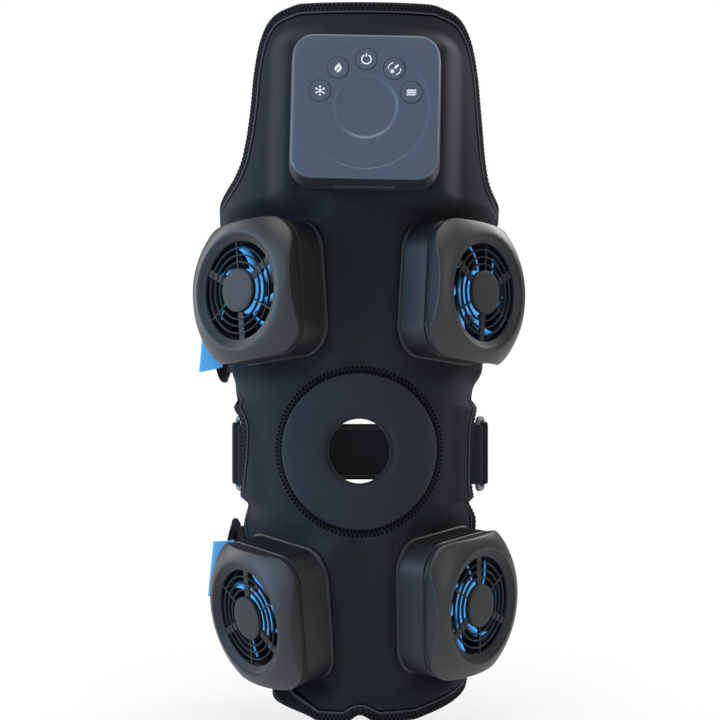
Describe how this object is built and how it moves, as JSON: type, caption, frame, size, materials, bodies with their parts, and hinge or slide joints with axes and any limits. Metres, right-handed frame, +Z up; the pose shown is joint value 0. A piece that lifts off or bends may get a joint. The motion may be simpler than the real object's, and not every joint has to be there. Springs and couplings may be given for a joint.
{
  "type": "hot and cold therapy knee wrap",
  "caption": "Neoprene knee wrap with a kneecap hole, a push-button controller on the thigh, fan-cooled hot and cold modules round the knee, and straps that close behind the leg.",
  "frame": {"origin": "on the leg's axis, level with the middle of the kneecap hole", "axes": "+Z up the leg to the thigh, -Y out of the front of the knee, +X to the right as seen from the front"},
  "size_m": [0.1978, 0.1773, 0.4167],
  "materials": {
    "black_neoprene": "fine knit over foam",
    "black_webbing": "woven",
    "blue_tab": "brushed loop fabric",
    "grey_plastic": "moulded",
    "charcoal_plastic": "fine texture",
    "slate_plastic": "fine texture",
    "black_plastic": "moulded",
    "blue_plastic": "glossy",
    "board_green": "solder mask",
    "battery_wrap": "heat-shrink film",
    "bare_steel": "plain",
    "aluminium": "satin",
    "tile_ceramic": "unglazed",
    "black_rubber": "matt"
  },
  "bodies": {
    "wrap": {"front_panel": "black_neoprene", "knee_ring_pad": "black_neoprene", "left_ring_loop": "black_webbing", "right_ring_loop": "black_webbing", "mid_strap": "black_webbing", "controller_base": "charcoal_plastic", "controller_cover": "slate_plastic", "circuit_board": "board_green", "battery_pack": "battery_wrap", "charge_port": "bare_steel", "upper_left_rear_housing": "charcoal_plastic", "upper_left_front_cover": "charcoal_plastic", "upper_left_grille": "charcoal_plastic", "upper_left_fan_frame": "black_plastic", "upper_left_heat_sink": "aluminium", "upper_left_peltier_tile": "tile_ceramic", "upper_left_thermal_plate": "aluminium", "upper_left_vibration_motor": "bare_steel", "upper_right_rear_housing": "charcoal_plastic", "upper_right_front_cover": "charcoal_plastic", "upper_right_grille": "charcoal_plastic", "upper_right_fan_frame": "black_plastic", "upper_right_heat_sink": "aluminium", "upper_right_peltier_tile": "tile_ceramic", "upper_right_thermal_plate": "aluminium", "upper_right_vibration_motor": "bare_steel", "lower_left_rear_housing": "charcoal_plastic", "lower_left_front_cover": "charcoal_plastic", "lower_left_grille": "charcoal_plastic", "lower_left_fan_frame": "black_plastic", "lower_left_heat_sink": "aluminium", "lower_left_peltier_tile": "tile_ceramic", "lower_left_thermal_plate": "aluminium", "lower_left_vibration_motor": "bare_steel", "lower_right_rear_housing": "charcoal_plastic", "lower_right_front_cover": "charcoal_plastic", "lower_right_grille": "charcoal_plastic", "lower_right_fan_frame": "black_plastic", "lower_right_heat_sink": "aluminium", "lower_right_peltier_tile": "tile_ceramic", "lower_right_thermal_plate": "aluminium", "lower_right_vibration_motor": "bare_steel"},
    "upper_strap_body": {"upper_strap": "black_webbing", "upper_hook_patch": "black_webbing", "upper_pull_tab": "blue_tab"},
    "lower_strap_body": {"lower_strap": "black_webbing", "lower_hook_patch": "black_webbing", "lower_pull_tab": "blue_tab"},
    "left_ring_body": {"left_ring": "grey_plastic"},
    "right_ring_body": {"right_ring": "grey_plastic"},
    "port_cover_body": {"port_cover": "black_rubber"},
    "vibration_button_body": {"vibration_button": "slate_plastic"},
    "contrast_button_body": {"contrast_button": "slate_plastic"},
    "power_button_body": {"power_button": "slate_plastic"},
    "heat_button_body": {"heat_button": "slate_plastic"},
    "cold_button_body": {"cold_button": "slate_plastic"},
    "upper_left_impeller_body": {"upper_left_impeller": "blue_plastic"},
    "upper_right_impeller_body": {"upper_right_impeller": "blue_plastic"},
    "lower_left_impeller_body": {"lower_left_impeller": "blue_plastic"},
    "lower_right_impeller_body": {"lower_right_impeller": "blue_plastic"}
  },
  "joints": [
    {"name": "vibration_button_press", "type": "slide", "parent": "wrap", "child": "vibration_button_body", "axis": [0, 0.9945, -0.1045], "range_m": [0, 0.0006], "stiffness_N_per_m": 600},
    {"name": "contrast_button_press", "type": "slide", "parent": "wrap", "child": "contrast_button_body", "axis": [0, 0.9945, -0.1045], "range_m": [0, 0.0006], "stiffness_N_per_m": 600},
    {"name": "power_button_press", "type": "slide", "parent": "wrap", "child": "power_button_body", "axis": [0, 0.9945, -0.1045], "range_m": [0, 0.0006], "stiffness_N_per_m": 600},
    {"name": "heat_button_press", "type": "slide", "parent": "wrap", "child": "heat_button_body", "axis": [0, 0.9945, -0.1045], "range_m": [0, 0.0006], "stiffness_N_per_m": 600},
    {"name": "cold_button_press", "type": "slide", "parent": "wrap", "child": "cold_button_body", "axis": [0, 0.9945, -0.1045], "range_m": [0, 0.0006], "stiffness_N_per_m": 600},
    {"name": "upper_left_fan_spin", "type": "hinge", "parent": "wrap", "child": "upper_left_impeller_body", "pos_m": [-0.06339, -0.06055, 0.09201], "axis": [-0.6726, -0.7392, 0.0332], "continuous": true},
    {"name": "upper_right_fan_spin", "type": "hinge", "parent": "wrap", "child": "upper_right_impeller_body", "pos_m": [0.06256, -0.0578, 0.09122], "axis": [0.7407, -0.6717, 0.014], "continuous": true},
    {"name": "lower_left_fan_spin", "type": "hinge", "parent": "wrap", "child": "lower_left_impeller_body", "pos_m": [-0.0579, -0.04945, -0.09631], "axis": [-0.7708, -0.6197, -0.1478], "continuous": true},
    {"name": "lower_right_fan_spin", "type": "hinge", "parent": "wrap", "child": "lower_right_impeller_body", "pos_m": [0.0601, -0.05069, -0.08996], "axis": [0.7722, -0.6343, -0.0384], "continuous": true},
    {"name": "left_ring_swing", "type": "hinge", "parent": "wrap", "child": "left_ring_body", "pos_m": [-0.07262, -0.01887, -0.005], "axis": [0, 0, 1], "range_deg": [-2, 2]},
    {"name": "right_ring_swing", "type": "hinge", "parent": "wrap", "child": "right_ring_body", "pos_m": [0.07262, -0.01887, -0.005], "axis": [0, 0, 1], "range_deg": [-2, 2]},
    {"name": "upper_strap_open", "type": "hinge", "parent": "wrap", "child": "upper_strap_body", "pos_m": [0.077, -0.01032, 0.0743], "axis": [0.0417, 0.0463, 0.9981], "range_deg": [-75, 0]},
    {"name": "lower_strap_open", "type": "hinge", "parent": "wrap", "child": "lower_strap_body", "pos_m": [0.07118, -0.00358, -0.08295], "axis": [0.0294, -0.0351, 0.999], "range_deg": [-75, 0]},
    {"name": "port_cover_open", "type": "hinge", "parent": "wrap", "child": "port_cover_body", "pos_m": [0.00092, -0.08487, 0.15035], "axis": [0.9998, -0.0022, -0.0208], "range_deg": [0, 100]}
  ]
}
